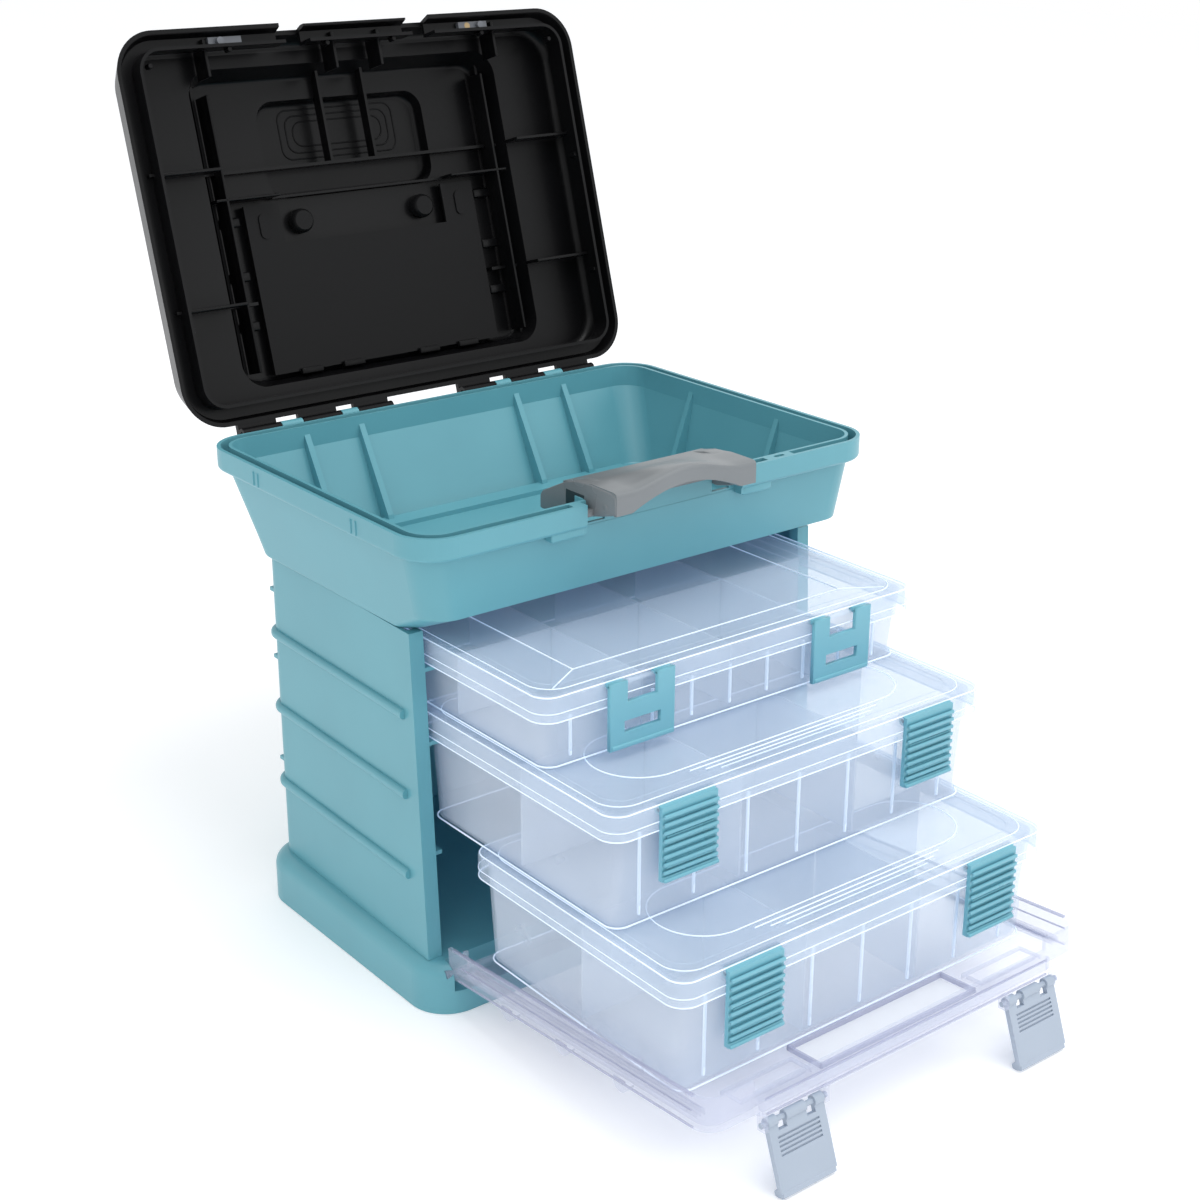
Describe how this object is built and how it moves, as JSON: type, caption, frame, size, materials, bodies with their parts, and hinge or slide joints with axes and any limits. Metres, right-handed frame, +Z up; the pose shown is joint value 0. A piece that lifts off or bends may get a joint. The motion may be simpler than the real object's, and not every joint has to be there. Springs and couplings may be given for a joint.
{
  "type": "craft storage rack",
  "caption": "Portable craft rack with a lidded top tub, carrying handle, fold-down clear front door and pull-out lidded organizers, shown opened.",
  "frame": {"origin": "middle of the plinth's underside, on the table", "axes": "+X to the rack's right as seen from behind the viewer, +Y to the back, +Z up; the door and organizers come out along -Y"},
  "size_m": [0.342, 0.5869, 0.5376],
  "materials": {
    "teal_plastic": "satin moulded polypropylene",
    "black_plastic": "satin moulded polypropylene",
    "grey_plastic": "satin",
    "pale_latch_plastic": "satin",
    "clear_plastic": "clear polypropylene",
    "frosted_plastic": "translucent frosted polypropylene",
    "clip_plastic": "satin moulded polypropylene"
  },
  "bodies": {
    "rack": {"base_plinth": "teal_plastic", "side_panel_left": "teal_plastic", "side_panel_right": "teal_plastic", "back_panel": "teal_plastic", "top_tub": "teal_plastic"},
    "lid": {"lid_shell": "black_plastic", "lid_inner_plate": "black_plastic", "lid_catch_left": "grey_plastic", "lid_catch_right": "grey_plastic", "lid_hinge_pins": "black_plastic"},
    "handle": {"carry_handle": "grey_plastic"},
    "door": {"front_door": "clear_plastic"},
    "door_latch_l": {"door_latch_left": "pale_latch_plastic"},
    "door_latch_r": {"door_latch_right": "pale_latch_plastic"},
    "lower_organizer": {"lower_organizer_tray": "frosted_plastic", "lower_organizer_lid": "frosted_plastic", "lower_organizer_dividers": "frosted_plastic"},
    "middle_organizer": {"middle_organizer_tray": "frosted_plastic", "middle_organizer_lid": "frosted_plastic", "middle_organizer_dividers": "frosted_plastic"},
    "top_organizer": {"top_organizer_tray": "frosted_plastic", "top_organizer_lid": "frosted_plastic", "top_organizer_dividers": "frosted_plastic"},
    "lower_clip_l": {"lower_clip_left": "clip_plastic"},
    "lower_clip_r": {"lower_clip_right": "clip_plastic"},
    "middle_clip_l": {"middle_clip_left": "clip_plastic"},
    "middle_clip_r": {"middle_clip_right": "clip_plastic"},
    "top_clip_l": {"top_clip_left": "clip_plastic"},
    "top_clip_r": {"top_clip_right": "clip_plastic"}
  },
  "joints": [
    {"name": "lid_hinge", "type": "hinge", "parent": "rack", "child": "lid", "pos_m": [0, 0.1275, 0.2987], "axis": [1, 0, 0], "range_deg": [0, 106.3]},
    {"name": "handle_swing", "type": "hinge", "parent": "rack", "child": "handle", "pos_m": [0, -0.1165, 0.295], "axis": [1, 0, 0], "range_deg": [-35, 0]},
    {"name": "door_hinge", "type": "hinge", "parent": "rack", "child": "door", "pos_m": [0, -0.1025, 0.026], "axis": [-1, 0, 0], "range_deg": [-10, 0]},
    {"name": "door_latch_swing_left", "type": "hinge", "parent": "door", "child": "door_latch_l", "pos_m": [-0.091, -0.33566, 0.03887], "axis": [-1, 0, 0], "range_deg": [-20, 90]},
    {"name": "door_latch_swing_right", "type": "hinge", "parent": "door", "child": "door_latch_r", "pos_m": [0.091, -0.33566, 0.03887], "axis": [-1, 0, 0], "range_deg": [-20, 90]},
    {"name": "lower_organizer_slide", "type": "slide", "parent": "rack", "child": "lower_organizer", "axis": [0, 1, 0], "range_m": [-0.012, 0.2006]},
    {"name": "middle_organizer_slide", "type": "slide", "parent": "rack", "child": "middle_organizer", "axis": [0, 1, 0], "range_m": [-0.04, 0.1462]},
    {"name": "top_organizer_slide", "type": "slide", "parent": "rack", "child": "top_organizer", "axis": [0, 1, 0], "range_m": [-0.04, 0.087]},
    {"name": "lower_clip_left_swing", "type": "hinge", "parent": "lower_organizer", "child": "lower_clip_l", "pos_m": [-0.09, -0.3003, 0.1091], "axis": [-1, 0, 0], "range_deg": [0, 90]},
    {"name": "lower_clip_right_swing", "type": "hinge", "parent": "lower_organizer", "child": "lower_clip_r", "pos_m": [0.09, -0.3003, 0.1091], "axis": [-1, 0, 0], "range_deg": [0, 90]},
    {"name": "middle_clip_left_swing", "type": "hinge", "parent": "middle_organizer", "child": "middle_clip_l", "pos_m": [-0.09, -0.2459, 0.1796], "axis": [-1, 0, 0], "range_deg": [0, 90]},
    {"name": "middle_clip_right_swing", "type": "hinge", "parent": "middle_organizer", "child": "middle_clip_r", "pos_m": [0.09, -0.2459, 0.1796], "axis": [-1, 0, 0], "range_deg": [0, 90]},
    {"name": "top_clip_left_swing", "type": "hinge", "parent": "top_organizer", "child": "top_clip_l", "pos_m": [-0.075, -0.1867, 0.2247], "axis": [-1, 0, 0], "range_deg": [0, 90]},
    {"name": "top_clip_right_swing", "type": "hinge", "parent": "top_organizer", "child": "top_clip_r", "pos_m": [0.075, -0.1867, 0.2247], "axis": [-1, 0, 0], "range_deg": [0, 90]}
  ]
}
